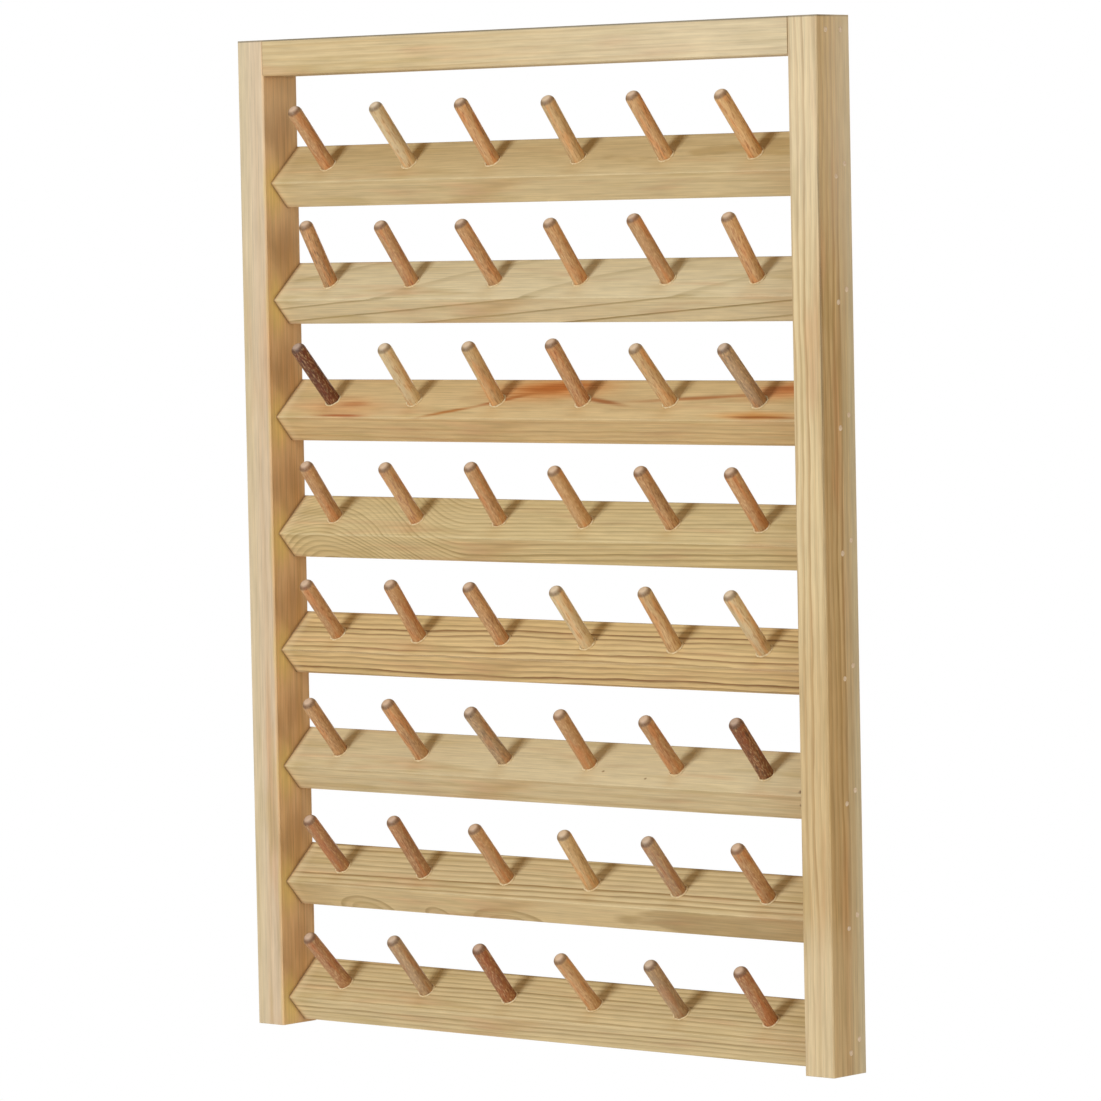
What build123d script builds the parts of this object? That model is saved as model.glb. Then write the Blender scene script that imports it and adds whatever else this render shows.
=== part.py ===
from build123d import *
import math
import os

# Wall rack for thread spools: a pine frame with slanted rails that each carry a row of dowel pegs.
# Millimetres. X runs along the rails, +Y goes from the front of the rack to the wall, Z is up.
# The origin is the middle of the top rail's back face, where the rack lies on the wall.

# Frame
rack_height = 400.0
rack_width = 300.0
frame_depth = 20.0
stile_width = 14.0
top_rail_height = 14.5
frame_edge_ease = 0.5

# Peg rails: a strip turned about its length, so that its wide face looks up and forward
peg_rail_count = 8
peg_rail_tilt = 42.5
peg_rail_thickness = 13.8
peg_rail_front_setback = 3.4
peg_rail_back_setback = 0.5
peg_rail_front_ease = 0.3
peg_rail_lower_round = 0.9
first_peg_rail_drop = 57.7
last_peg_rail_lift = 11.2

# Pegs, set into blind sockets
pegs_per_rail = 6
peg_diameter = 6.0
peg_length = 38.0
end_peg_inset = 25.0
peg_rise = 10.0
socket_depth = 7.5
socket_clearance = 0.05
socket_sides = 8

# The pegs were set by hand and lean a little. Degrees, one row for each rail from the top,
# left to right: first sideways towards the right stile, then backwards up the rail's face.
side_leans = [
    [0, -2, -1, 1, -3, -3],
    [6, 0, -3, 1, -6, 0],
    [-1, 4, 3, -1, -1, -2],
    [5, 2, 3, 3, 1, 2],
    [3, 4, -1, 1, 1, -2],
    [4, -1, 1, 4, 3, 3],
    [2, 1, 1, 5, 2, 3],
    [0, 0, 3, 1, 3, 3],
]
rise_leans = [
    [1, 3, 4, 3, 5, 3],
    [6, 4, 4, 3, 7, 6],
    [0, 0, 2, 5, -1, -1],
    [0, 0, 2, -1, 0, 0],
    [-1, 2, 2, 1, 3, 2],
    [-2, 1, -3, -1, -3, -1],
    [-2, 3, 0, 0, -1, -2],
    [-3, 1, 0, -3, -2, -1],
]

# Headless brads of flat wire, driven through the stiles into the ends of the rails and set below
# the surface
brad_width = 1.25
brad_thickness = 1.05
brad_length = 28.0
brad_set_depth = 1.5
brad_clearance = 0.05
brad_tip_clearance = 0.2
top_rail_brad_drop = 5.5
top_rail_front_brad_inset = 5.7
top_rail_back_brad_inset = 5.3
peg_rail_brad_rises = [3.5, 10.5]

# Keyhole slots in the backs of the stiles, for two round-headed wall screws
keyhole_drop = 35.0
keyhole_entry_diameter = 8.0
keyhole_slot_width = 4.0
keyhole_travel = 10.0
keyhole_lip = 3.0
keyhole_depth = 9.0

# How far a cutter runs past the surface that it cuts
overrun = 1.0

# Where the frame's faces lie
front_y = -frame_depth
top_z = top_rail_height / 2
bottom_z = top_z - rack_height
inner_x = rack_width / 2 - stile_width

# The peg rails share out the height, and the pegs the length of a rail
peg_rail_pitch = (rack_height - first_peg_rail_drop - last_peg_rail_lift) / (peg_rail_count - 1)
peg_pitch = 2 * (inner_x - end_peg_inset) / (pegs_per_rail - 1)

# Directions in the peg rail's section: up its wide face, and out of that face
tilt = math.radians(peg_rail_tilt)
up_face = Vector(0, math.cos(tilt), math.sin(tilt))
out_of_face = Vector(0, -math.sin(tilt), math.cos(tilt))


def front_corner(row):
    """The peg rail's front corner, in the rack's middle plane."""
    z = top_z - first_peg_rail_drop - row * peg_rail_pitch
    return Vector(0, front_y + peg_rail_front_setback, z)


def peg_placement(row, place):
    """A frame at the foot of a peg, on the rail's face, with its Z axis along the peg."""
    side = math.tan(math.radians(side_leans[row % len(side_leans)][place % len(side_leans[0])]))
    rise = math.tan(math.radians(rise_leans[row % len(rise_leans)][place % len(rise_leans[0])]))
    x = (place - (pegs_per_rail - 1) / 2) * peg_pitch
    foot = front_corner(row) + up_face * peg_rise + Vector(x, 0, 0)
    return Plane(origin=foot, x_dir=(1, 0, 0), z_dir=out_of_face + Vector(1, 0, 0) * side + up_face * rise)


def peg(row, place):
    """A round dowel, standing on the bottom of its socket."""
    dowel = Cylinder(peg_diameter / 2, peg_length, align=(Align.CENTER, Align.CENTER, Align.MIN))
    return peg_placement(row, place) * Pos(0, 0, -socket_depth) * dowel


def socket(row, place):
    """The cutter for a peg's blind hole: many-sided, and clear of the round peg on every side."""
    reach = peg_diameter / 2 + socket_clearance
    mouth = RegularPolygon(reach, socket_sides, major_radius=False)
    hole = extrude(mouth, socket_depth + overrun)
    return peg_placement(row, place) * Pos(0, 0, -socket_depth) * hole


def peg_rail_section(row):
    """Outline in the YZ plane: a strip on the slant, with its rear trimmed upright near the wall."""
    corner = front_corner(row)
    back_y = -peg_rail_back_setback
    top = corner + up_face * ((back_y - corner.Y) / up_face.Y)
    lower = corner - out_of_face * peg_rail_thickness
    rear = lower + up_face * ((back_y - lower.Y) / up_face.Y)
    outline = Polyline(*[(p.Y, p.Z) for p in (corner, top, rear, lower)], close=True)
    face = make_face(outline)
    by_depth = face.vertices().sort_by(Axis.X)
    face = chamfer(by_depth[0], peg_rail_front_ease)
    by_height = face.vertices().sort_by(Axis.Y)
    return fillet(by_height[0], peg_rail_lower_round)


def brad_places(row):
    """Where a peg rail's brads go, as points of its section halfway through the strip."""
    middle = front_corner(row) - out_of_face * (peg_rail_thickness / 2)
    return [middle + up_face * rise for rise in peg_rail_brad_rises]


def top_rail_brad_places():
    """Where the top rail's brads go."""
    z = top_z - top_rail_brad_drop
    return [
        Vector(0, front_y + top_rail_front_brad_inset, z),
        Vector(0, -top_rail_back_brad_inset, z),
    ]


def all_brad_places():
    """Every brad place on one stile, from the top down."""
    places = top_rail_brad_places()
    for row in range(peg_rail_count):
        places += brad_places(row)
    return places


def driven(place, side):
    """A frame on the stile's outer side at a brad, with its Z axis pointing inwards."""
    origin = (side * rack_width / 2, place.Y, place.Z)
    return Plane(origin=origin, x_dir=(0, 1, 0), z_dir=(-side, 0, 0))


def brad(place, side):
    """A headless nail of flat wire, its blunt end below the stile's surface."""
    nail = Box(brad_width, brad_thickness, brad_length, align=(Align.CENTER, Align.CENTER, Align.MIN))
    return driven(place, side) * Pos(0, 0, brad_set_depth) * nail


def brad_hole(place, side):
    """The cutter for a brad, from outside the stile to just past the nail's point."""
    hole = Box(
        brad_width + 2 * brad_clearance,
        brad_thickness + 2 * brad_clearance,
        overrun + brad_set_depth + brad_length + brad_tip_clearance,
        align=(Align.CENTER, Align.CENTER, Align.MIN),
    )
    return driven(place, side) * Pos(0, 0, -overrun) * hole


def keyhole(side):
    """The cutter for a keyhole slot, seen from the back: entry, narrow slot above, wide channel behind."""
    x = side * (rack_width - stile_width) / 2
    back = Plane(origin=(x, 0, top_z - keyhole_drop), x_dir=(-1, 0, 0), z_dir=(0, -1, 0))
    entry_radius = keyhole_entry_diameter / 2
    from_back = (Align.CENTER, Align.CENTER, Align.MIN)
    full_depth = keyhole_depth + overrun
    channel_depth = keyhole_depth - keyhole_lip
    entry = Pos(0, 0, -overrun) * Cylinder(entry_radius, full_depth, align=from_back)
    slot = Pos(0, keyhole_travel / 2, -overrun) * Box(
        keyhole_slot_width, keyhole_travel, full_depth, align=from_back
    )
    slot_end = Pos(0, keyhole_travel, -overrun) * Cylinder(
        keyhole_slot_width / 2, full_depth, align=from_back
    )
    channel = Pos(0, keyhole_travel / 2, keyhole_lip) * Box(
        keyhole_entry_diameter, keyhole_travel, channel_depth, align=from_back
    )
    channel_end = Pos(0, keyhole_travel, keyhole_lip) * Cylinder(
        entry_radius, channel_depth, align=from_back
    )
    return back * (entry + slot + slot_end + channel + channel_end)


def stile(side):
    """An upright of the frame, drilled for the brads and slotted at the back for hanging."""
    x = side * (rack_width - stile_width) / 2
    board = Pos(x, -frame_depth / 2, (top_z + bottom_z) / 2) * Box(stile_width, frame_depth, rack_height)
    board = chamfer(board.edges().filter_by(Axis.Z), frame_edge_ease)
    board -= keyhole(side)
    for place in all_brad_places():
        board -= brad_hole(place, side)
    return board


def top_rail():
    """The rail that closes the frame at the top, drilled at its ends for the brads."""
    board = Pos(0, -frame_depth / 2, 0) * Box(2 * inner_x, frame_depth, top_rail_height)
    board = chamfer(board.edges().filter_by(Axis.X), frame_edge_ease)
    for side in (-1, 1):
        for place in top_rail_brad_places():
            board -= brad_hole(place, side)
    return board


def peg_rail(row):
    """A slanted rail, drilled with the sockets and the brad holes in its ends."""
    section = Plane.YZ * peg_rail_section(row)
    strip = extrude(section, inner_x, both=True)
    for place in range(pegs_per_rail):
        strip -= socket(row, place)
    for side in (-1, 1):
        for place in brad_places(row):
            strip -= brad_hole(place, side)
    return strip


def brads():
    """All the nails of the rack, as separate solids."""
    nails = [brad(place, side) for side in (-1, 1) for place in all_brad_places()]
    return Compound(children=nails)


parts = {
    "left_stile": stile(-1),
    "right_stile": stile(1),
    "top_rail": top_rail(),
    "brads": brads(),
}
for row in range(peg_rail_count):
    parts[f"peg_rail_{row + 1}"] = peg_rail(row)
    for place in range(pegs_per_rail):
        parts[f"peg_{row + 1}_{place + 1}"] = peg(row, place)

os.makedirs("parts", exist_ok=True)
for name, shape in parts.items():
    export_step(shape, f"parts/{name}.step")
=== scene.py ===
import math

import bpy
from mathutils import Matrix, Vector


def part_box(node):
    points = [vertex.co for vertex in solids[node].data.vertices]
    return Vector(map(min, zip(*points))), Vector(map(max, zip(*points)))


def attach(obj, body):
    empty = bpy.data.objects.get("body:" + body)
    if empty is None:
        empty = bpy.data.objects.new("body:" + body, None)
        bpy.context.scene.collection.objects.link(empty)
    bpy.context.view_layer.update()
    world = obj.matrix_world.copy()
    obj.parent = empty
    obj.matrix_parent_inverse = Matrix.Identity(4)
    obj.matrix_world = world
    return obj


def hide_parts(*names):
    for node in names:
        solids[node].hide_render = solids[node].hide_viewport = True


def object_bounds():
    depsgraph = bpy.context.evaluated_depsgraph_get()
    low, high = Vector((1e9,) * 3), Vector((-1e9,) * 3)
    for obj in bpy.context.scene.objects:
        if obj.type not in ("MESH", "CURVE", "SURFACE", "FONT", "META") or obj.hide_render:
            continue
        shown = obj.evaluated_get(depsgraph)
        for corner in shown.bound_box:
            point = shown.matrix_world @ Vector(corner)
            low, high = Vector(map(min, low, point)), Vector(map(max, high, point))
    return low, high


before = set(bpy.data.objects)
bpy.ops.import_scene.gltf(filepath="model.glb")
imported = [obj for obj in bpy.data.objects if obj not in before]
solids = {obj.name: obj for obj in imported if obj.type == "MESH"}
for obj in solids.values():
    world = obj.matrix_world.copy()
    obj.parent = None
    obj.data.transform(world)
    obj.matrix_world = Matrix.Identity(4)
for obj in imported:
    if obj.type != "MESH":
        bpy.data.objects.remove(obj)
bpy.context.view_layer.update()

# The eight peg rails are pine strips on the slant, ripped from different boards, planed and sawn to
# length, so that each has its own grain. They stand glued and nailed between the stiles.
mm = 0.001
peg_rail_count = 8
peg_rail_tilt = math.radians(42.5)
out_of_face = Vector((0, -math.sin(peg_rail_tilt), math.cos(peg_rail_tilt)))
peg_rail_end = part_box("peg_rail_1")[1].x / mm
arris_radius = 0.45
corner_reach = 2.5
pine_relief = 0.08


def linear(hex_colour):
    """An sRGB hex colour as the linear colour that shaders work in."""
    channels = [int(hex_colour[i : i + 2], 16) / 255 for i in (1, 3, 5)]
    return [c / 12.92 if c <= 0.04045 else ((c + 0.055) / 1.055) ** 2.4 for c in channels] + [1.0]


def add(tree, kind, inputs=(), **settings):
    """Adds a node with its settings. An input is a value, or a socket that it is linked to."""
    node = tree.nodes.new(kind)
    for name, value in settings.items():
        setattr(node, name, value)
    for key, value in dict(inputs).items():
        if isinstance(value, bpy.types.NodeSocket):
            tree.links.new(value, node.inputs[key])
        else:
            node.inputs[key].default_value = value
    return node


def new_finish(name):
    """An empty material with its tree."""
    material = bpy.data.materials.new(name)
    material.use_nodes = True
    material.node_tree.nodes.clear()
    return material, material.node_tree


def streaks(tree, grain, along, across, detail=2.0):
    """Streaks in the wood, as a number round zero. Sizes are in millimetres along and across the grain."""
    per_metre = (1 / (along * mm), 1 / (across * mm), 1 / (across * mm))
    stretched = add(tree, "ShaderNodeMapping", {"Vector": grain, "Scale": per_metre}).outputs[0]
    pattern = {"Vector": stretched, "Scale": 1.0, "Detail": detail, "Roughness": 0.55}
    value = add(tree, "ShaderNodeTexNoise", pattern).outputs[0]
    return add(tree, "ShaderNodeMath", {0: value, 1: 0.5}, operation="SUBTRACT").outputs[0]


def distance_from(tree, board, middle, size, angle=0.0):
    """How far a point is from a spot on a board: 0 in its middle, 1 at its edge. The angle turns it."""
    shape = {
        "Vector": board,
        "Location": [c * mm for c in middle],
        "Rotation": (0, 0, math.radians(angle)),
        "Scale": [c * mm for c in size],
    }
    local = add(tree, "ShaderNodeMapping", shape, vector_type="TEXTURE").outputs[0]
    return add(tree, "ShaderNodeVectorMath", {0: local}, operation="LENGTH").outputs["Value"]


def year_rings(tree, board, pith, lean, ring_width, late_share, sway, bulges):
    """Growth rings round the tree's pith, from 0 in pale early wood to 1 in the line of late wood, which
    takes the outer late_share of each ring."""
    axis = {
        "Vector": board,
        "Location": (0, pith[0] * mm, pith[1] * mm),
        "Rotation": (0, math.radians(lean[0]), math.radians(lean[1])),
    }
    rings = add(tree, "ShaderNodeMapping", axis, vector_type="TEXTURE").outputs[0]
    flat = add(tree, "ShaderNodeVectorMath", {0: rings, 1: (0, 1, 1)}, operation="MULTIPLY").outputs[0]
    radius = add(tree, "ShaderNodeVectorMath", {0: flat}, operation="LENGTH").outputs["Value"]
    for along, across, share in ((130, 40, 5.0), (30, 7, 1.4), (9, 2.5, 0.4)):
        swayed = {0: streaks(tree, board, along, across, 1.5), 1: sway * share * mm, 2: radius}
        radius = add(tree, "ShaderNodeMath", swayed, operation="MULTIPLY_ADD").outputs[0]
    for middle, size, height in bulges:
        rise = {0: distance_from(tree, board, middle, size), 1: 1.0, 2: 0.0, 3: 0.0, 4: -height * mm}
        rise = add(tree, "ShaderNodeMapRange", rise, interpolation_type="SMOOTHSTEP").outputs[0]
        radius = add(tree, "ShaderNodeMath", {0: radius, 1: rise}, operation="ADD").outputs[0]
    count = add(tree, "ShaderNodeMath", {0: radius, 1: ring_width * mm}, operation="DIVIDE").outputs[0]
    season = add(tree, "ShaderNodeMath", {0: count}, operation="FRACT").outputs[0]
    year = add(tree, "ShaderNodeMath", {0: count}, operation="FLOOR").outputs[0]
    line = add(tree, "ShaderNodeValToRGB", {"Fac": season})
    line.color_ramp.interpolation = "EASE"
    for inwards, level in ((1.0, 0.08), (0.48, 0.75), (0.29, 1.0), (0.16, 0.9)):
        line.color_ramp.elements.new(1 - inwards * late_share).color = (level, level, level, 1)
    line.color_ramp.elements[-1].color = (0, 0, 0, 1)
    chance = add(tree, "ShaderNodeTexWhiteNoise", {"W": year}, noise_dimensions="1D").outputs["Value"]
    strength = add(tree, "ShaderNodeMapRange", {0: chance, 3: 0.3, 4: 1.0}).outputs[0]
    return add(tree, "ShaderNodeMath", {0: line.outputs[0], 1: strength}, operation="MULTIPLY").outputs[0]


def pine(
    name,
    corner,
    turn,
    pith,
    lean,
    ring_width,
    early,
    late,
    shows,
    face=("Y", 0.2, 1.5),
    late_share=0.62,
    sway=1.0,
    bulges=(),
    stains_and_painted_light=(),
    bands=(),
    crease_shade=0.6,
):
    """Planed bare pine, dull and open: pale early wood with brown lines of late wood, fine fibres that
    catch the light, soft warm and olive patches, arrises paler with wear and a painted highlight, and
    painted shade in the corners and creases. Sizes are in millimetres in the board's own frame, with X
    along the grain. The lines show by shows[0] before the face's edge and by shows[1] past it. A band
    tints the board more and more from its start to its end, a spot tints a ragged patch, mostly a real
    stain and in places painted light and shade, and a bulge bends the rings outwards like a knot beneath."""
    material, tree = new_finish(name)
    place = add(tree, "ShaderNodeTexCoord").outputs["Object"]
    frame_of_board = {"Vector": place, "Location": corner, "Rotation": turn.to_euler()}
    board = add(tree, "ShaderNodeMapping", frame_of_board, vector_type="TEXTURE").outputs[0]
    sides = add(tree, "ShaderNodeSeparateXYZ", {0: board}).outputs

    line = year_rings(tree, board, pith, lean, ring_width, late_share, sway, bulges)
    axis, start, end = face
    show = {0: sides[axis], 1: start * mm, 2: end * mm, 3: shows[0], 4: shows[1]}
    show = add(tree, "ShaderNodeMapRange", show, interpolation_type="SMOOTHSTEP").outputs[0]
    line = add(tree, "ShaderNodeMath", {0: line, 1: show}, operation="MULTIPLY").outputs[0]
    colour = {0: line, 6: linear(early), 7: linear(late)}
    colour = add(tree, "ShaderNodeMix", colour, data_type="RGBA").outputs[2]

    fibre = streaks(tree, board, 28, 0.7, 3.0)
    mottle = streaks(tree, board, 14, 2.6, 2.0)
    for tint, along, across, strength in (("#CF9F70", 80, 9, 0.5), ("#B9A168", 55, 7, 0.45)):
        patch = {0: streaks(tree, board, along, across, 2.0), 1: 0.02, 2: 0.22, 3: 0.0, 4: strength}
        patch = add(tree, "ShaderNodeMapRange", patch, interpolation_type="SMOOTHSTEP").outputs[0]
        colour = {0: patch, 6: colour, 7: linear(tint)}
        colour = add(tree, "ShaderNodeMix", colour, data_type="RGBA").outputs[2]
    for axis, start, end, tint, strength in bands:
        band = {0: sides[axis], 1: start * mm, 2: end * mm, 3: 0.0, 4: strength}
        band = add(tree, "ShaderNodeMapRange", band, interpolation_type="SMOOTHSTEP").outputs[0]
        colour = {0: band, 6: colour, 7: linear(tint)}
        colour = add(tree, "ShaderNodeMix", colour, data_type="RGBA").outputs[2]
    for middle, size, angle, tint, strength in stains_and_painted_light:
        ragged = {0: fibre, 1: 0.7, 2: distance_from(tree, board, middle, size, angle)}
        ragged = add(tree, "ShaderNodeMath", ragged, operation="MULTIPLY_ADD").outputs[0]
        spot_mask = {0: ragged, 1: 1.0, 2: 0.15, 3: 0.0, 4: strength}
        spot_mask = add(tree, "ShaderNodeMapRange", spot_mask, interpolation_type="SMOOTHSTEP").outputs[0]
        colour = {0: spot_mask, 6: colour, 7: linear(tint)}
        colour = add(tree, "ShaderNodeMix", colour, data_type="RGBA").outputs[2]

    eased = add(tree, "ShaderNodeBevel", {"Radius": arris_radius * mm}, samples=4).outputs[0]
    sharp = add(tree, "ShaderNodeNewGeometry").outputs["Normal"]
    flatness = {0: eased, 1: sharp}
    flatness = add(tree, "ShaderNodeVectorMath", flatness, operation="DOT_PRODUCT").outputs["Value"]
    # Pale arrises: partly wear, and partly a painted highlight where the eased edges catch the light.
    arris_wear_and_highlight = {0: flatness, 1: 0.995, 2: 0.9, 3: 0.0, 4: 0.35}
    arris_wear_and_highlight = add(tree, "ShaderNodeMapRange", arris_wear_and_highlight, interpolation_type="SMOOTHSTEP").outputs[0]
    colour = {0: arris_wear_and_highlight, 6: colour, 7: linear("#E9D6AC")}
    colour = add(tree, "ShaderNodeMix", colour, data_type="RGBA").outputs[2]
    # Painted shade: the colour turns dark brown where ambient occlusion finds nearby surfaces, in corners,
    # creases and joints.
    reach = {"Distance": corner_reach * mm}
    corners = add(tree, "ShaderNodeAmbientOcclusion", reach, samples=6).outputs["AO"]
    darkening = {0: corners, 1: 0.85, 2: 0.25, 3: 0.0, 4: crease_shade}
    darkening = add(tree, "ShaderNodeMapRange", darkening, interpolation_type="SMOOTHSTEP").outputs[0]
    colour = {0: darkening, 6: colour, 7: linear("#8A5A2C")}
    colour = add(tree, "ShaderNodeMix", colour, data_type="RGBA").outputs[2]
    light = {0: fibre, 1: 0.55, 2: 1.0}
    light = add(tree, "ShaderNodeMath", light, operation="MULTIPLY_ADD").outputs[0]
    light = {0: mottle, 1: 0.25, 2: light}
    light = add(tree, "ShaderNodeMath", light, operation="MULTIPLY_ADD").outputs[0]
    colour = {0: colour, "Scale": light}
    colour = add(tree, "ShaderNodeVectorMath", colour, operation="SCALE").outputs[0]

    height = add(tree, "ShaderNodeMath", {0: line, 1: 0.4, 2: fibre}, operation="MULTIPLY_ADD").outputs[0]
    relief = {"Height": height, "Distance": pine_relief * mm, "Normal": eased}
    bump = add(tree, "ShaderNodeBump", relief).outputs[0]
    rough = add(tree, "ShaderNodeMapRange", {0: fibre, 1: -0.3, 2: 0.3, 3: 0.72, 4: 0.55}).outputs[0]
    surface = {"Base Color": colour, "Roughness": rough, "Normal": bump, "IOR": 1.5}
    shader = add(tree, "ShaderNodeBsdfPrincipled", surface).outputs[0]
    add(tree, "ShaderNodeOutputMaterial", {"Surface": shader})
    return material


def finish_with(node, material):
    """Gives every material slot of a solid the same material."""
    for slot in solids[node].material_slots:
        slot.material = material


# Resin has reddened the third rail along one ring, which wanders up its face and down again. The first
# rail's face has yellowed, the sixth has pin knots, and knots beneath bend the rings of two others.
resin = [
    ((-104, 6, 0), (34, 9, 3), 0, "#DE9E62", 0.6),
    ((2, 16.5, 0), (48, 10, 3), 3, "#DA9048", 0.85),
    ((122, 16, 0), (34, 8, 3), 6, "#DA9454", 0.8),
    ((112, 2.5, 0), (32, 3.2, 3), 0, "#DA9646", 0.75),
    ((-100, 0.8, 0), (20, 1.2, 3), 0, "#B05A22", 0.85),
    ((-98, 7.5, 0), (12, 2.6, 3), 3, "#C4824A", 0.75),
    ((-45, 3.4, 0), (20, 1.5, 3), 13, "#B4702C", 0.9),
    ((-20, 10.0, 0), (20, 1.7, 3), 16, "#B46A2A", 0.9),
    ((4, 17.0, 0), (30, 4.6, 3), 4, "#B8641E", 0.9),
    ((30, 10.2, 0), (22, 1.8, 3), -10, "#A8642C", 0.9),
    ((80, 11.8, 0), (46, 1.6, 3), 4, "#B27038", 0.85),
    ((124, 17.5, 0), (24, 4.2, 3), 6, "#B8682E", 0.85),
    ((116, 1.6, 0), (26, 1.2, 3), 0, "#A45E1C", 0.9),
]
yellowing = [((0, 11, 0), (400, 20, 4), 0, "#CCAB70", 0.5)]
tiny_knots = [
    ((132.5, 2.0, 0), (1.8, 1.4, 2), 0, "#5A3A1C", 0.9),
    ((131.0, 0, -5.5), (1.4, 2, 1.4), 0, "#6B4523", 0.85),
    ((31, 6.5, 0), (1.0, 0.8, 2), 0, "#8A6232", 0.8),
    ((54, 4.0, 0), (0.9, 0.8, 2), 0, "#8A6232", 0.8),
    ((66, 8.0, 0), (1.1, 0.8, 2), 0, "#8A6232", 0.8),
]
knot_beyond_the_end = [((-115, 0, 0), (78, 400, 400), 30)]
burls = [
    ((-99, 0, -15), (21, 400, 13), 7),
    ((-61, 0, -15), (11, 400, 9), 5),
    ((-24, 0, -15), (26, 400, 11), 6),
]
peg_rail_boards = [
    {
        "pith": (10, 62),
        "lean": (0.3, 1.4),
        "ring_width": 3.4,
        "early": "#DCC696",
        "late": "#A8864A",
        "shows": (0.15, 0.7),
        "stains_and_painted_light": yellowing,
    },
    {
        "pith": (-10, -62),
        "lean": (-5.0, 0.6),
        "ring_width": 7.0,
        "early": "#E1CEA2",
        "late": "#8F7434",
        "shows": (0.9, 0.35),
        "late_share": 0.18,
        "sway": 0.35,
    },
    {
        "pith": (10, -46),
        "lean": (0.2, 0.8),
        "ring_width": 2.3,
        "early": "#DCBE88",
        "late": "#AE8048",
        "shows": (0.45, 0.2),
        "stains_and_painted_light": resin,
    },
    {
        "pith": (-62, -50),
        "lean": (0.0, 1.0),
        "ring_width": 1.7,
        "early": "#E0C993",
        "late": "#8F6F30",
        "shows": (0.7, 0.5),
        "sway": 0.35,
        "bulges": knot_beyond_the_end,
    },
    {
        "pith": (-80, -80),
        "lean": (0.3, 0.4),
        "ring_width": 2.1,
        "early": "#EACB90",
        "late": "#7C4C1A",
        "shows": (1.0, 0.9),
    },
    {
        "pith": (10, 70),
        "lean": (0.5, 0.4),
        "ring_width": 5.2,
        "early": "#E0CC9F",
        "late": "#AC8A50",
        "shows": (0.35, 0.15),
        "stains_and_painted_light": tiny_knots,
    },
    {
        "pith": (-95, -9),
        "lean": (0.2, 0.5),
        "ring_width": 2.7,
        "early": "#E0C896",
        "late": "#947036",
        "shows": (0.85, 0.95),
        "sway": 0.6,
        "bulges": burls,
    },
    {
        "pith": (-60, -56),
        "lean": (0.2, 0.3),
        "ring_width": 1.8,
        "early": "#DFC794",
        "late": "#8E6C30",
        "shows": (0.7, 0.8),
        "sway": 0.4,
    },
]

# Glue has browned both ends of each rail. Further in, painted shade from the right stile makes the right
# end a little darker than the left.
rail_ends = []
for side in (-1, 1):
    rail_ends.append(("X", side * (peg_rail_end - 2.2), side * (peg_rail_end - 0.6), "#C88E46", 0.4))
    rail_ends.append(("X", side * (peg_rail_end - 0.8), side * (peg_rail_end - 0.3), "#744A22", 0.85))
# Painted shade from the right stile, darkening the rail towards its right end.
rail_ends.append(("X", peg_rail_end - 26, peg_rail_end - 9, "#A98248", 0.2))
rail_ends.append(("X", 7 - peg_rail_end, 2 - peg_rail_end, "#F0DCB0", 0.3))
peg_rail_turn = Matrix.Rotation(peg_rail_tilt, 3, "X")
front_corners = []
for row in range(peg_rail_count):
    node = f"peg_rail_{row + 1}"
    low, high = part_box(node)
    front_corners.append(Vector((0, low.y, high.z - (high.y - low.y) * math.tan(peg_rail_tilt))))
    wood = pine(f"pine_{node}", front_corners[row], peg_rail_turn, bands=rail_ends, **peg_rail_boards[row])
    finish_with(node, wood)

# The forty-eight pegs are lengths of turned beech dowel with rounded tips, driven by hand into blind
# sockets in the rails, so that each leans a little its own way.
pegs_per_rail = 6
peg_diameter = 6.0
peg_tip_ease = 2.6
peg_sides = 36
peg_tip_rings = 8
end_grain_radii = (2.5, 1.2)
peg_relief = 0.12
# Each peg takes its own stretch of one pattern, away from the pattern's middle.
pattern_step = 53
pattern_offset = 18
# Colours of the pegs' wood and of their dark streaks, and the letter of each for every peg
peg_streaks = {
    "o": "#9E5A2A",
    "y": "#AE7840",
    "r": "#94421E",
    "t": "#9A6A3C",
    "b": "#84502A",
    "s": "#553526",
    "p": "#96584A",
    "g": "#665442",
    "m": "#6A3424",
    "d": "#38201A",
}
peg_wood = {
    "y": "#DBC498",
    "t": "#D2B07E",
    "a": "#DDB27A",
    "o": "#CEA371",
    "b": "#C49768",
    "r": "#B28359",
    "g": "#B59673",
    "m": "#9E643B",
    "k": "#8A5631",
    "d": "#713D22",
}
peg_woods_by_rail = ["byotoa", "bbbobo", "dytbtg", "bobobb", "bbbyty", "bbgbbk", "rrbtgb", "rgmogr"]
peg_streaks_by_rail = ["oyrtbo", "spbotr", "dytrog", "optybo", "oobyoy", "bbgyod", "pbttpo", "rtmotr"]
assert len(peg_woods_by_rail) == len(peg_streaks_by_rail) == peg_rail_count


def peg_line(node):
    """The middle of a peg's foot and of its tip, from its solid."""
    points = {tuple(round(c, 6) for c in v.co) for v in solids[node].data.vertices}
    points = [Vector(p) for p in points]
    middle = sum(points, Vector()) / len(points)
    tip_points = [p for p in points if (p - middle).dot(out_of_face) > 0]
    foot_points = [p for p in points if (p - middle).dot(out_of_face) < 0]
    return sum(foot_points, Vector()) / len(foot_points), sum(tip_points, Vector()) / len(tip_points)


def new_group(name, sockets):
    """An empty Geometry Nodes group with a geometry in and out and the named inputs."""
    tree = bpy.data.node_groups.new(name, "GeometryNodeTree")
    tree.interface.new_socket("Geometry", in_out="INPUT", socket_type="NodeSocketGeometry")
    tree.interface.new_socket("Geometry", in_out="OUTPUT", socket_type="NodeSocketGeometry")
    for socket_name, kind in sockets.items():
        tree.interface.new_socket(socket_name, in_out="INPUT", socket_type=kind)
    return tree, add(tree, "NodeGroupInput").outputs, add(tree, "NodeGroupOutput").inputs[0]


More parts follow.
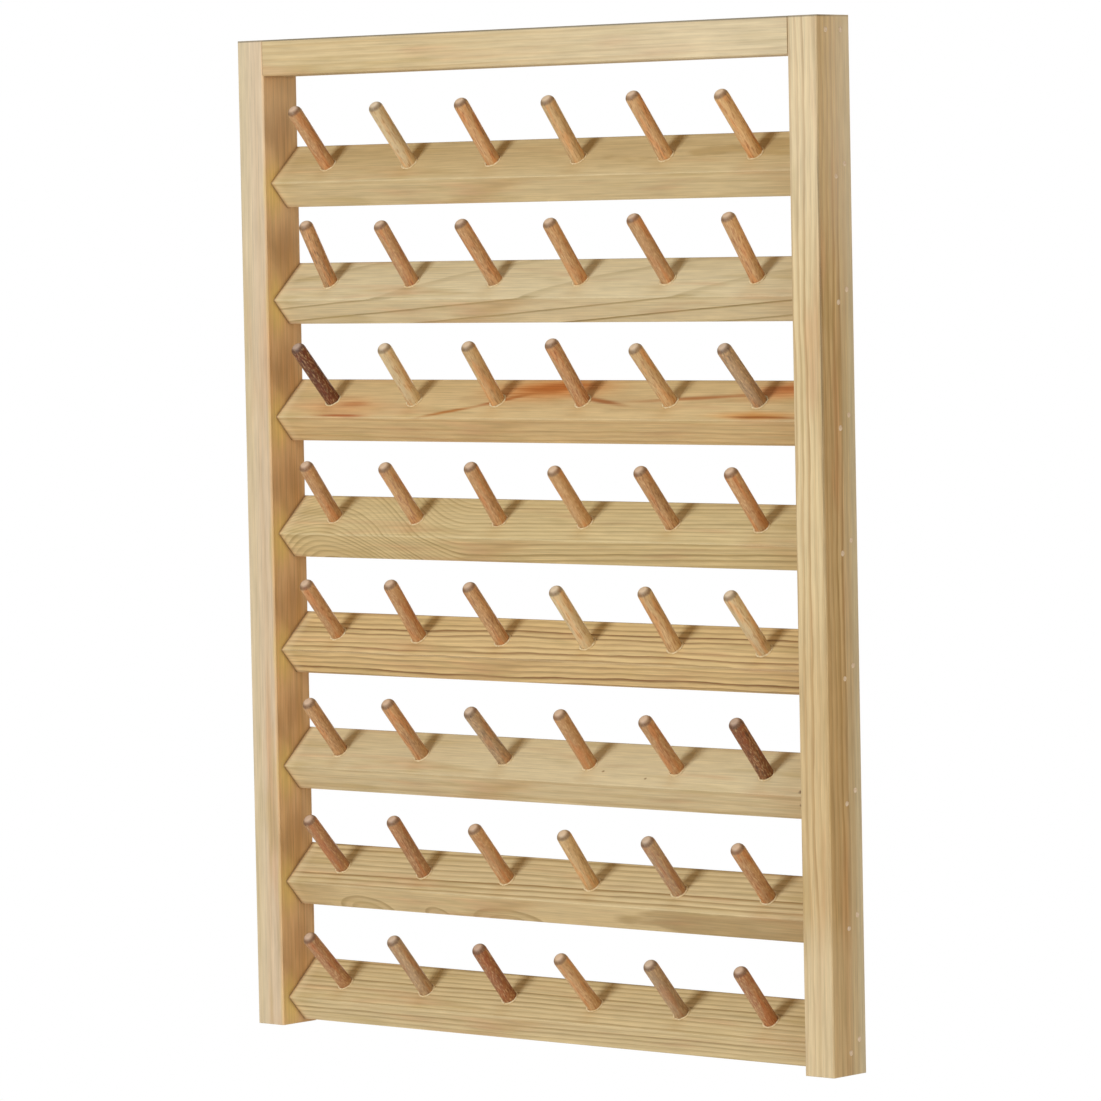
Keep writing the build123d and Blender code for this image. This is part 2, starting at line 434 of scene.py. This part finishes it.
def grow(name, points, attributes, tree, values):
    """Runs a Geometry Nodes group on a set of points and keeps the result as a plain mesh piece."""
    mesh = bpy.data.meshes.new(name + "_points")
    mesh.from_pydata(points, [], [])
    for attribute, kind, field, data in attributes:
        numbers = [number for entry in data for number in entry]
        mesh.attributes.new(attribute, kind, "POINT").data.foreach_set(field, numbers)
    seed = bpy.data.objects.new(name + "_points", mesh)
    bpy.context.scene.collection.objects.link(seed)
    modifier = seed.modifiers.new("grow", "NODES")
    modifier.node_group = tree
    keys = {item.name: item.identifier for item in tree.interface.items_tree if item.in_out == "INPUT"}
    for socket_name, value in values.items():
        modifier[keys[socket_name]] = value
    evaluated = seed.evaluated_get(bpy.context.evaluated_depsgraph_get())
    grown = bpy.data.meshes.new_from_object(evaluated)
    bpy.data.objects.remove(seed)
    grown.name = name
    piece = bpy.data.objects.new(name, grown)
    bpy.context.scene.collection.objects.link(piece)
    return piece


def dowel_group():
    """A dowel with a rounded tip stands on each point, along its "lean", with a fixed random roll."""
    sockets = {
        "Diameter": "NodeSocketFloat",
        "Length": "NodeSocketFloat",
        "Tip Ease": "NodeSocketFloat",
        "Tip Rings": "NodeSocketInt",
        "Sides": "NodeSocketInt",
        "Seed": "NodeSocketInt",
        "Material": "NodeSocketMaterial",
    }
    tree, given, out = new_group("Dowel pegs", sockets)
    last = add(tree, "ShaderNodeMath", {0: given["Tip Rings"], 1: 1.0}, operation="ADD").outputs[0]
    count = add(tree, "ShaderNodeMath", {0: last, 1: 1.0}, operation="ADD").outputs[0]
    spine = add(tree, "GeometryNodeMeshLine", {"Count": count}).outputs[0]
    index = add(tree, "GeometryNodeInputIndex").outputs[0]
    angle = {0: index, 1: 1.0, 2: last, 3: 0.0, 4: math.pi / 2}
    angle = add(tree, "ShaderNodeMapRange", angle).outputs[0]
    sine = add(tree, "ShaderNodeMath", {0: angle}, operation="SINE").outputs[0]
    cosine = add(tree, "ShaderNodeMath", {0: angle}, operation="COSINE").outputs[0]
    straight = {0: given["Length"], 1: given["Tip Ease"]}
    straight = add(tree, "ShaderNodeMath", straight, operation="SUBTRACT").outputs[0]
    rise = {0: sine, 1: given["Tip Ease"], 2: straight}
    rise = add(tree, "ShaderNodeMath", rise, operation="MULTIPLY_ADD").outputs[0]
    past_foot = add(tree, "ShaderNodeMath", {0: index, 1: 0.5}, operation="GREATER_THAN").outputs[0]
    rise = add(tree, "ShaderNodeMath", {0: rise, 1: past_foot}, operation="MULTIPLY").outputs[0]
    half = add(tree, "ShaderNodeMath", {0: given["Diameter"], 1: 0.5}, operation="MULTIPLY").outputs[0]
    flat = add(tree, "ShaderNodeMath", {0: half, 1: given["Tip Ease"]}, operation="SUBTRACT").outputs[0]
    radius = {0: cosine, 1: given["Tip Ease"], 2: flat}
    radius = add(tree, "ShaderNodeMath", radius, operation="MULTIPLY_ADD").outputs[0]
    height = add(tree, "ShaderNodeCombineXYZ", {"Z": rise}).outputs[0]
    spine = add(tree, "GeometryNodeSetPosition", {"Geometry": spine, "Position": height}).outputs[0]
    spine = add(tree, "GeometryNodeMeshToCurve", {"Mesh": spine}).outputs[0]
    ring = {"Resolution": given["Sides"], "Radius": 1.0}
    ring = add(tree, "GeometryNodeCurvePrimitiveCircle", ring).outputs[0]
    swept = {"Curve": spine, "Profile Curve": ring, "Scale": radius, "Fill Caps": True}
    dowel = add(tree, "GeometryNodeCurveToMesh", swept).outputs[0]
    normal = add(tree, "GeometryNodeInputNormal").outputs[0]
    normal = add(tree, "ShaderNodeSeparateXYZ", {0: normal}).outputs["Z"]
    steep = add(tree, "ShaderNodeMath", {0: normal}, operation="ABSOLUTE").outputs[0]
    round_face = add(tree, "ShaderNodeMath", {0: steep, 1: 0.999}, operation="LESS_THAN").outputs[0]
    smooth = {"Geometry": dowel, "Shade Smooth": round_face}
    dowel = add(tree, "GeometryNodeSetShadeSmooth", smooth).outputs[0]
    position = add(tree, "GeometryNodeInputPosition").outputs[0]
    own_place = {"Geometry": dowel, "Name": "dowel_place", "Value": position}
    dowel = add(tree, "GeometryNodeStoreNamedAttribute", own_place, data_type="FLOAT_VECTOR").outputs[0]
    lean = {"Name": "lean"}
    lean = add(tree, "GeometryNodeInputNamedAttribute", lean, data_type="FLOAT_VECTOR").outputs[0]
    upright = add(tree, "FunctionNodeAlignRotationToVector", {"Vector": lean}, axis="Z").outputs[0]
    roll = {"Seed": given["Seed"], 2: 0.0, 3: 2 * math.pi}
    roll = add(tree, "FunctionNodeRandomValue", roll).outputs[1]
    roll = add(tree, "FunctionNodeAxisAngleToRotation", {"Axis": (0, 0, 1), "Angle": roll}).outputs[0]
    rotation = {0: upright, 1: roll}
    rotation = add(tree, "FunctionNodeRotateRotation", rotation, rotation_space="LOCAL").outputs[0]
    standing = {"Points": given["Geometry"], "Instance": dowel, "Rotation": rotation}
    pegs = add(tree, "GeometryNodeInstanceOnPoints", standing).outputs[0]
    real = add(tree, "GeometryNodeRealizeInstances", {"Geometry": pegs}).outputs[0]
    painted = {"Geometry": real, "Material": given["Material"]}
    tree.links.new(add(tree, "GeometryNodeSetMaterial", painted).outputs[0], out)
    return tree


def beech_dowel():
    """Turned beech, handled but never oiled: ruddy patches, dark streaks and short pale flecks along the
    peg, a dark rim round the paler end grain of the tip, and a faint sheen."""
    material, tree = new_finish("beech_dowel")
    place = add(tree, "ShaderNodeAttribute", attribute_name="dowel_place").outputs["Vector"]
    tone = add(tree, "ShaderNodeAttribute", attribute_name="wood").outputs["Color"]
    number = add(tree, "ShaderNodeAttribute", attribute_name="number").outputs["Fac"]
    start = add(tree, "ShaderNodeMath", {0: number, 1: pattern_step * mm}, operation="MULTIPLY").outputs[0]
    own_start = add(tree, "ShaderNodeCombineXYZ", {"X": pattern_offset * mm, "Z": start}).outputs[0]
    own_place = add(tree, "ShaderNodeVectorMath", {0: place, 1: own_start}, operation="ADD").outputs[0]
    quarter_turn = {"Vector": own_place, "Rotation": (0, math.pi / 2, 0)}
    grain = add(tree, "ShaderNodeMapping", quarter_turn).outputs[0]

    band = streaks(tree, grain, 30, 4.0, 1.0)
    streak = streaks(tree, grain, 4, 0.5, 3.0)
    fleck = streaks(tree, grain, 1.8, 0.6, 2.0)
    blush = streaks(tree, grain, 16, 2.4, 1.5)
    deep = add(tree, "ShaderNodeAttribute", attribute_name="streak").outputs["Color"]
    pale = {0: 0.5, 6: tone, 7: linear("#F4D49C")}
    pale = add(tree, "ShaderNodeMix", pale, data_type="RGBA").outputs[2]
    dark_share = {0: streak, 1: -0.02, 2: 0.2, 3: 0.0, 4: 0.65}
    dark_share = add(tree, "ShaderNodeMapRange", dark_share, interpolation_type="SMOOTHSTEP").outputs[0]
    pale_share = {0: fleck, 1: -0.04, 2: 0.18, 3: 0.0, 4: 0.75}
    pale_share = add(tree, "ShaderNodeMapRange", pale_share, interpolation_type="SMOOTHSTEP").outputs[0]
    colour = {0: pale_share, 6: tone, 7: pale}
    colour = add(tree, "ShaderNodeMix", colour, data_type="RGBA").outputs[2]
    ruddy = {0: blush, 1: -0.05, 2: 0.2, 3: 0.0, 4: 0.55}
    ruddy = add(tree, "ShaderNodeMapRange", ruddy, interpolation_type="SMOOTHSTEP").outputs[0]
    redder = {0: tone, 1: (1.16, 0.72, 0.42)}
    redder = add(tree, "ShaderNodeVectorMath", redder, operation="MULTIPLY").outputs[0]
    colour = {0: ruddy, 6: colour, 7: redder}
    colour = add(tree, "ShaderNodeMix", colour, data_type="RGBA").outputs[2]
    colour = {0: dark_share, 6: colour, 7: deep}
    colour = add(tree, "ShaderNodeMix", colour, data_type="RGBA").outputs[2]
    light = add(tree, "ShaderNodeMath", {0: band, 1: 0.5, 2: 1.0}, operation="MULTIPLY_ADD").outputs[0]
    colour = add(tree, "ShaderNodeVectorMath", {0: colour, "Scale": light}, operation="SCALE").outputs[0]

    height = add(tree, "ShaderNodeSeparateXYZ", {0: place}).outputs["Z"]
    flat = add(tree, "ShaderNodeVectorMath", {0: place, 1: (1, 1, 0)}, operation="MULTIPLY").outputs[0]
    radius = add(tree, "ShaderNodeVectorMath", {0: flat}, operation="LENGTH").outputs["Value"]
    ease = peg_tip_ease * mm
    near_tip = {0: height, 1: peg_length - 0.9 * ease, 2: peg_length - 0.5 * ease}
    near_tip = add(tree, "ShaderNodeMapRange", near_tip, interpolation_type="SMOOTHSTEP").outputs[0]
    # A darker band round the shoulder of the tip.
    tip_rim_darkening = add(tree, "ShaderNodeMath", {0: near_tip, 1: 0.65}, operation="MULTIPLY").outputs[0]
    colour = {0: tip_rim_darkening, 6: colour, 7: linear("#5C4638")}
    colour = add(tree, "ShaderNodeMix", colour, data_type="RGBA").outputs[2]
    outer, inner = end_grain_radii
    end_grain = {0: radius, 1: outer * mm, 2: inner * mm, 3: 0.0, 4: 0.95}
    end_grain = add(tree, "ShaderNodeMapRange", end_grain, interpolation_type="SMOOTHSTEP").outputs[0]
    end_grain = add(tree, "ShaderNodeMath", {0: end_grain, 1: near_tip}, operation="MULTIPLY").outputs[0]
    pale_end = {0: 0.5, 6: tone, 7: linear("#EFD6BC")}
    pale_end = add(tree, "ShaderNodeMix", pale_end, data_type="RGBA").outputs[2]
    colour = {0: end_grain, 6: colour, 7: pale_end}
    colour = add(tree, "ShaderNodeMix", colour, data_type="RGBA").outputs[2]

    relief = {0: fleck, 1: 0.6, 2: streak}
    relief = add(tree, "ShaderNodeMath", relief, operation="MULTIPLY_ADD").outputs[0]
    bump = add(tree, "ShaderNodeBump", {"Height": relief, "Distance": peg_relief * mm}).outputs[0]
    rough = {0: streak, 1: -0.3, 2: 0.3, 3: 0.45, 4: 0.6}
    rough = add(tree, "ShaderNodeMapRange", rough).outputs[0]
    surface = {"Base Color": colour, "Roughness": rough, "Normal": bump, "IOR": 1.5}
    shader = add(tree, "ShaderNodeBsdfPrincipled", surface).outputs[0]
    add(tree, "ShaderNodeOutputMaterial", {"Surface": shader})
    return material


peg_places = [(row, place) for row in range(peg_rail_count) for place in range(pegs_per_rail)]
peg_nodes = [f"peg_{row + 1}_{place + 1}" for row, place in peg_places]
peg_lines = [peg_line(node) for node in peg_nodes]
peg_leans = [(tip - foot).normalized() for foot, tip in peg_lines]
peg_length = (peg_lines[0][1] - peg_lines[0][0]).length
peg_tones = [linear(peg_wood[peg_woods_by_rail[row][place]]) for row, place in peg_places]
peg_streak_tones = [linear(peg_streaks[peg_streaks_by_rail[row][place]]) for row, place in peg_places]
peg_attributes = [
    ("lean", "FLOAT_VECTOR", "vector", peg_leans),
    ("wood", "FLOAT_COLOR", "color", peg_tones),
    ("streak", "FLOAT_COLOR", "color", peg_streak_tones),
    ("number", "FLOAT", "value", [(i,) for i in range(len(peg_places))]),
]
peg_values = {
    "Diameter": peg_diameter * mm,
    "Length": peg_length,
    "Tip Ease": peg_tip_ease * mm,
    "Tip Rings": peg_tip_rings,
    "Sides": peg_sides,
    "Seed": 5,
    "Material": beech_dowel(),
}
pegs = grow("dowel_pegs", [foot for foot, tip in peg_lines], peg_attributes, dowel_group(), peg_values)
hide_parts(*peg_nodes)
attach(pegs, "root")

# Round each peg's foot stands a thin pale collar, where the drill raised the pine's fibres and a little
# glue came out as the peg went in.
collar_diameter = 6.7
collar_width = 0.8
collar_rise = 0.3
collar_sides = 32
bead_sides = 8
collar_waves_per_metre = 420.0
powder_relief = 0.08


def collar_group():
    """A low uneven ring lies flat on each point, facing along its "outward"."""
    sockets = {
        "Diameter": "NodeSocketFloat",
        "Width": "NodeSocketFloat",
        "Rise": "NodeSocketFloat",
        "Seed": "NodeSocketInt",
        "Material": "NodeSocketMaterial",
    }
    tree, given, out = new_group("Foot collars", sockets)
    half = add(tree, "ShaderNodeMath", {0: given["Diameter"], 1: 0.5}, operation="MULTIPLY").outputs[0]
    line = {"Resolution": collar_sides, "Radius": half}
    line = add(tree, "GeometryNodeCurvePrimitiveCircle", line).outputs[0]
    half = add(tree, "ShaderNodeMath", {0: given["Width"], 1: 0.5}, operation="MULTIPLY").outputs[0]
    bead = {"Resolution": bead_sides, "Radius": half}
    bead = add(tree, "GeometryNodeCurvePrimitiveCircle", bead).outputs[0]
    ring = add(tree, "GeometryNodeCurveToMesh", {"Curve": line, "Profile Curve": bead}).outputs[0]
    squash = add(tree, "ShaderNodeMath", {0: given["Rise"], 1: half}, operation="DIVIDE").outputs[0]
    squash = add(tree, "ShaderNodeCombineXYZ", {0: 1.0, 1: 1.0, 2: squash}).outputs[0]
    ring = add(tree, "GeometryNodeTransform", {"Geometry": ring, "Scale": squash}).outputs[0]
    ring = add(tree, "GeometryNodeSetShadeSmooth", {"Geometry": ring}).outputs[0]
    outward = {"Name": "outward"}
    outward = add(tree, "GeometryNodeInputNamedAttribute", outward, data_type="FLOAT_VECTOR").outputs[0]
    facing = add(tree, "FunctionNodeAlignRotationToVector", {"Vector": outward}, axis="Z").outputs[0]
    placed = {"Points": given["Geometry"], "Instance": ring, "Rotation": facing}
    rings = add(tree, "GeometryNodeInstanceOnPoints", placed).outputs[0]
    real = add(tree, "GeometryNodeRealizeInstances", {"Geometry": rings}).outputs[0]
    wobble = {"Scale": collar_waves_per_metre, "Detail": 1.0, "W": given["Seed"]}
    wobble = add(tree, "ShaderNodeTexNoise", wobble, noise_dimensions="4D").outputs["Color"]
    push = {0: wobble, 1: (0.5, 0.5, 0.5)}
    push = add(tree, "ShaderNodeVectorMath", push, operation="SUBTRACT").outputs[0]
    push = {0: push, "Scale": given["Width"]}
    push = add(tree, "ShaderNodeVectorMath", push, operation="SCALE").outputs[0]
    uneven = add(tree, "GeometryNodeSetPosition", {"Geometry": real, "Offset": push}).outputs[0]
    painted = {"Geometry": uneven, "Material": given["Material"]}
    tree.links.new(add(tree, "GeometryNodeSetMaterial", painted).outputs[0], out)
    return tree


def chalky(name, dull, bright, grain_size):
    """Fine fibres or powder, stiff with dry glue: rough, pale and without a sheen."""
    material, tree = new_finish(name)
    place = add(tree, "ShaderNodeTexCoord").outputs["Object"]
    grit = streaks(tree, place, grain_size, grain_size)
    share = {0: grit, 1: -0.2, 2: 0.2}
    share = add(tree, "ShaderNodeMapRange", share, interpolation_type="SMOOTHSTEP").outputs[0]
    colour = {0: share, 6: linear(dull), 7: linear(bright)}
    colour = add(tree, "ShaderNodeMix", colour, data_type="RGBA").outputs[2]
    bump = add(tree, "ShaderNodeBump", {"Height": grit, "Distance": powder_relief * mm}).outputs[0]
    rough = add(tree, "ShaderNodeMapRange", {0: grit, 1: -0.2, 2: 0.2, 3: 0.7, 4: 0.9}).outputs[0]
    surface = {"Base Color": colour, "Roughness": rough, "Normal": bump, "IOR": 1.5}
    shader = add(tree, "ShaderNodeBsdfPrincipled", surface).outputs[0]
    add(tree, "ShaderNodeOutputMaterial", {"Surface": shader})
    return material


collar_places = []
for (row, place), (foot, tip), lean in zip(peg_places, peg_lines, peg_leans):
    below = (front_corners[row] - foot).dot(out_of_face)
    collar_places.append(foot + lean * (below / lean.dot(out_of_face)))
collar_attributes = [("outward", "FLOAT_VECTOR", "vector", [out_of_face] * len(collar_places))]
collar_values = {
    "Diameter": collar_diameter * mm,
    "Width": collar_width * mm,
    "Rise": collar_rise * mm,
    "Seed": 2,
    "Material": chalky("raised_fibres", "#D9BD88", "#EFDDB4", 1.0),
}
collars = grow("foot_collars", collar_places, collar_attributes, collar_group(), collar_values)
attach(collars, "root")

# The frame is two planed pine stiles with the top rail butted between them. Their long edges are eased
# with a plane, the arrises round the top are tinted dark grey, and the fronts are pale sapwood.
stile_turn = Matrix(((0, 1, 0), (0, 0, 1), (1, 0, 0)))
top_rail_turn = Matrix(((1, 0, 0), (0, 0, -1), (0, 1, 0)))
frame_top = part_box("top_rail")[1].z / mm
frame_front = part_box("top_rail")[0].y / mm
stile_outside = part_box("right_stile")[1].x / mm
stile_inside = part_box("right_stile")[0].x / mm


def dark_and_dusty_top(axis, strength):
    """Bands for the frame's upper edge: a dark grey tint on the arrises, and paler dust on the face
    between them.
    """
    darkening = (axis, frame_top - 0.9, frame_top - 0.35, "#6F685A", strength)
    dust = (axis, frame_top - 0.06, frame_top - 0.01, "#C2AC86", 0.65)
    return [darkening, dust]


right_stile_board = {
    "pith": (84, -78),
    "lean": (0.2, 0.35),
    "ring_width": 2.2,
    "early": "#E2CB9B",
    "late": "#9E6C2C",
    "shows": (0.6, 0.8),
    "face": ("Z", frame_front + 0.4, frame_front + 1.0),
    "bands": [
        # Painted light and shade: the stile is tinted darker tan low down, and paler towards its top and
        # its foot.
        ("X", -195, -250, "#B99258", 0.35),
        ("X", -110, -40, "#F2E4C8", 0.22),
        ("X", -325, -352, "#EBDBB6", 0.35),
        ("Z", -10.5, -6.5, "#DED3B2", 0.55),
        ("Z", -5.5, -2.5, "#E0DAC0", 0.65),
        *dark_and_dusty_top("X", 0.7),
    ],
    "stains_and_painted_light": [
        ((-12, stile_outside, -4), (110, 2.5, 16), 0, "#FFF4DC", 0.5),
        ((-160, stile_outside, -17), (90, 2.5, 9), 0, "#B08850", 0.3),
        ((-110, stile_outside - 0.3, frame_front + 0.3), (150, 0.9, 0.9), 0, "#7C6440", 0.75),
    ],
    "crease_shade": 0.1,
}

# Inside, the left stile has painted light that makes it paler at the top. Glue has yellowed it beside each
# rail's front corner, and painted shadows of the pegs brown it above.
# Painted light: a pale patch at the top of the inner face.
left_stile_glue_light_and_shade = [((-28, -stile_inside, -10), (60, 2.5, 26), 0, "#F8E0BC", 0.5)]
for corner in front_corners:
    beside, above = corner.z / mm - 2, corner.z / mm + 22
    left_stile_glue_light_and_shade.append(((beside, -stile_inside, -15), (17, 2.5, 8), 0, "#E6CC84", 0.9))
    # Painted shadow of the pegs: a brown patch above each rail's front corner.
    left_stile_glue_light_and_shade.append(((above, -stile_inside, -9), (13, 2.5, 9), 0, "#9A6030", 0.25))
left_stile_board = {
    "pith": (-214, -80),
    "lean": (0.0, 0.3),
    "ring_width": 4.2,
    "early": "#DAC2A0",
    "late": "#C3A070",
    "shows": (0.4, 0.6),
    "face": ("Z", frame_front + 0.4, frame_front + 1.0),
    "bands": [
        # Painted light: paler towards the top of the stile.
        ("X", -170, 0, "#DECAAA", 0.5),
        ("Y", -stile_inside - 5, -stile_inside - 11, "#D9CCA2", 0.35),
        ("Y", -stile_inside - 1.4, -stile_inside - 0.2, "#ECC088", 0.6),
        *dark_and_dusty_top("X", 0.7),
    ],
    "stains_and_painted_light": left_stile_glue_light_and_shade,
    "crease_shade": 0.75,
}
top_rail_board = {
    "pith": (-78, 22),
    "lean": (0.3, 0.5),
    "ring_width": 2.8,
    "early": "#D8C090",
    "late": "#BE9A60",
    "shows": (0.5, 0.5),
    "sway": 0.5,
    "bands": [("X", -90, 110, "#EEE4C8", 0.3), *dark_and_dusty_top("Y", 0.8)],
    "crease_shade": 0.05,
}
finish_with("right_stile", pine("pine_right_stile", Vector(), stile_turn, **right_stile_board))
finish_with("left_stile", pine("pine_left_stile", Vector(), stile_turn, **left_stile_board))
finish_with("top_rail", pine("pine_top_rail", Vector(), top_rail_turn, **top_rail_board))


# The brads are headless nails of flat steel wire, driven through the stiles into the rails' ends and
# punched below the surface.
def drawn_steel():
    """Bright drawn steel wire: a dull grey metal with fine lines along it."""
    material, tree = new_finish("drawn_steel_wire")
    place = add(tree, "ShaderNodeTexCoord").outputs["Object"]
    lines = streaks(tree, place, 16, 0.25)
    share = add(tree, "ShaderNodeMapRange", {0: lines, 1: -0.2, 2: 0.2}).outputs[0]
    colour = {0: share, 6: linear("#8F8C87"), 7: linear("#B4B1AB")}
    colour = add(tree, "ShaderNodeMix", colour, data_type="RGBA").outputs[2]
    rough = add(tree, "ShaderNodeMapRange", {0: lines, 1: -0.2, 2: 0.2, 3: 0.3, 4: 0.45}).outputs[0]
    surface = {"Base Color": colour, "Metallic": 1.0, "Roughness": rough}
    shader = add(tree, "ShaderNodeBsdfPrincipled", surface).outputs[0]
    add(tree, "ShaderNodeOutputMaterial", {"Surface": shader})
    return material


finish_with("brads", drawn_steel())

# Wood filler closes the hole over each brad: a small dab, a little wider than the hole, wiped nearly
# flush and left paler than the pine.
filler_width = 2.1
filler_rise = 0.2
filler_sides = 20
filler_rings = 8
filler_swell = (0.9, 1.02)
filler_wobble_share = 0.2
filler_waves_per_metre = 700.0
brad_spacing = 3.0


def brad_ends():
    """The middle of each brad's outer end, from the solids."""
    corners = [v.co for v in solids["brads"].data.vertices]
    reach = max(abs(c.x) for c in corners)
    corners = [c for c in corners if abs(c.x) > reach - mm]
    ends = []
    for corner in corners:
        if all((corner - end).length > brad_spacing * mm for end in ends):
            own = [c for c in corners if (c - corner).length < brad_spacing * mm]
            ends.append(sum(own, Vector()) / len(own))
    return ends


def filler_group():
    """A flat uneven dab lies on each point, facing along its "outward", some larger and some smaller."""
    sockets = {
        "Width": "NodeSocketFloat",
        "Rise": "NodeSocketFloat",
        "Seed": "NodeSocketInt",
        "Material": "NodeSocketMaterial",
    }
    tree, given, out = new_group("Filler dabs", sockets)
    half = add(tree, "ShaderNodeMath", {0: given["Width"], 1: 0.5}, operation="MULTIPLY").outputs[0]
    dab = {"Segments": filler_sides, "Rings": filler_rings, "Radius": 1.0}
    dab = add(tree, "GeometryNodeMeshUVSphere", dab).outputs[0]
    shape = add(tree, "ShaderNodeCombineXYZ", {0: half, 1: half, 2: given["Rise"]}).outputs[0]
    dab = add(tree, "GeometryNodeTransform", {"Geometry": dab, "Scale": shape}).outputs[0]
    dab = add(tree, "GeometryNodeSetShadeSmooth", {"Geometry": dab}).outputs[0]
    outward = {"Name": "outward"}
    outward = add(tree, "GeometryNodeInputNamedAttribute", outward, data_type="FLOAT_VECTOR").outputs[0]
    facing = add(tree, "FunctionNodeAlignRotationToVector", {"Vector": outward}, axis="Z").outputs[0]
    smallest, largest = filler_swell
    swell = {"Seed": given["Seed"], 2: smallest, 3: largest}
    swell = add(tree, "FunctionNodeRandomValue", swell).outputs[1]
    placed = {"Points": given["Geometry"], "Instance": dab, "Rotation": facing, "Scale": swell}
    dabs = add(tree, "GeometryNodeInstanceOnPoints", placed).outputs[0]
    real = add(tree, "GeometryNodeRealizeInstances", {"Geometry": dabs}).outputs[0]
    wobble = {"Scale": filler_waves_per_metre, "Detail": 1.0}
    wobble = add(tree, "ShaderNodeTexNoise", wobble).outputs["Color"]
    push = {0: wobble, 1: (0.5, 0.5, 0.5)}
    push = add(tree, "ShaderNodeVectorMath", push, operation="SUBTRACT").outputs[0]
    push = add(tree, "ShaderNodeVectorMath", {0: push, 1: (0, 1, 1)}, operation="MULTIPLY").outputs[0]
    reach = {0: given["Width"], 1: filler_wobble_share}
    reach = add(tree, "ShaderNodeMath", reach, operation="MULTIPLY").outputs[0]
    push = add(tree, "ShaderNodeVectorMath", {0: push, "Scale": reach}, operation="SCALE").outputs[0]
    uneven = add(tree, "GeometryNodeSetPosition", {"Geometry": real, "Offset": push}).outputs[0]
    painted = {"Geometry": uneven, "Material": given["Material"]}
    tree.links.new(add(tree, "GeometryNodeSetMaterial", painted).outputs[0], out)
    return tree


stile_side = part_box("right_stile")[1].x
filler_places = [Vector((math.copysign(stile_side, end.x), end.y, end.z)) for end in brad_ends()]
outward = [("outward", "FLOAT_VECTOR", "vector", [(math.copysign(1, p.x), 0, 0) for p in filler_places])]
filler_values = {
    "Width": filler_width * mm,
    "Rise": filler_rise * mm,
    "Seed": 3,
    "Material": chalky("wood_filler", "#E9D4BC", "#FBF0E2", 0.6),
}
filler = grow("filler_dabs", filler_places, outward, filler_group(), filler_values)
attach(filler, "root")

# The studio: a plain white floor well below the rack, which hangs on its wall screws. One soft box stands
# in front, a warmer one on the right, a cool one above and a weak one behind, with a warm room all round.
floor_drop = 0.5
floor_size = 3.0
rack_low, rack_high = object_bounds()
rack_middle = (rack_low + rack_high) / 2

floor_mesh = bpy.data.meshes.new("floor")
half_floor = floor_size / 2
floor_level = rack_low.z - floor_drop
corner_signs = ((-1, -1), (1, -1), (1, 1), (-1, 1))
floor_corners = [(x * half_floor, y * half_floor, floor_level) for x, y in corner_signs]
floor_mesh.from_pydata(floor_corners, [], [(0, 1, 2, 3)])
floor = bpy.data.objects.new("floor", floor_mesh)
bpy.context.scene.collection.objects.link(floor)
floor_paint, floor_tree = new_finish("white_paper")
paper = {
    "Base Color": linear("#F4F4F2"),
    "Roughness": 0.9,
    "Emission Color": linear("#FFFFFF"),
    "Emission Strength": 0.1,
}
paper = add(floor_tree, "ShaderNodeBsdfPrincipled", paper).outputs[0]
add(floor_tree, "ShaderNodeOutputMaterial", {"Surface": paper})
floor_mesh.materials.append(floor_paint)


def soft_box(name, azimuth, elevation, distance, size, power, colour):
    """A square area light that faces the rack. Azimuth 0 is straight in front, and positive is right."""
    data = bpy.data.lights.new(name, "AREA")
    data.size = size
    data.energy = power
    data.color = linear(colour)[:3]
    light = bpy.data.objects.new(name, data)
    bpy.context.scene.collection.objects.link(light)
    side, up = math.radians(azimuth), math.radians(elevation)
    towards = Vector((math.sin(side) * math.cos(up), -math.cos(side) * math.cos(up), math.sin(up)))
    light.location = rack_middle + towards * distance
    light.rotation_euler = towards.to_track_quat("Z", "Y").to_euler()


soft_box("key", -5, 17, 2.6, 0.6, 42, "#EAF4FF")
soft_box("side", 80, 8, 2.5, 0.8, 12.5, "#FFF2DA")
soft_box("above", 0, 80, 2.0, 1.0, 10, "#C4E0FF")
soft_box("back", 205, 15, 2.5, 1.2, 14, "#FFFFFF")

world = bpy.data.worlds.new("studio")
world.use_nodes = True
room = world.node_tree
room.nodes.clear()
seen = add(room, "ShaderNodeLightPath").outputs["Is Camera Ray"]
lit = add(room, "ShaderNodeBackground", {"Color": linear("#FFDFB8"), "Strength": 0.28}).outputs[0]
white = add(room, "ShaderNodeBackground", {"Color": linear("#FFFFFF"), "Strength": 1.0}).outputs[0]
sky = add(room, "ShaderNodeMixShader", {0: seen, 1: lit, 2: white}).outputs[0]
add(room, "ShaderNodeOutputWorld", {"Surface": sky})
bpy.context.scene.world = world
bpy.context.scene.view_settings.view_transform = "Standard"

# The camera stands far off to the right of the rack, between the heights of its first two peg rails, with
# a long lens. Its place is in metres, its turn in degrees.
camera_place = (1.59929, -1.83705, -0.06797)
camera_turn = (86.958, 1.1225, 41.056)
camera_lens = 202.64
sensor_width = 36
clip_end = 50
camera_data = bpy.data.cameras.new("camera")
camera_data.lens = camera_lens
camera_data.sensor_width = sensor_width
camera_data.clip_end = clip_end
camera = bpy.data.objects.new("camera", camera_data)
camera.location = camera_place
camera.rotation_euler = [math.radians(a) for a in camera_turn]
bpy.context.scene.collection.objects.link(camera)
bpy.context.scene.camera = camera
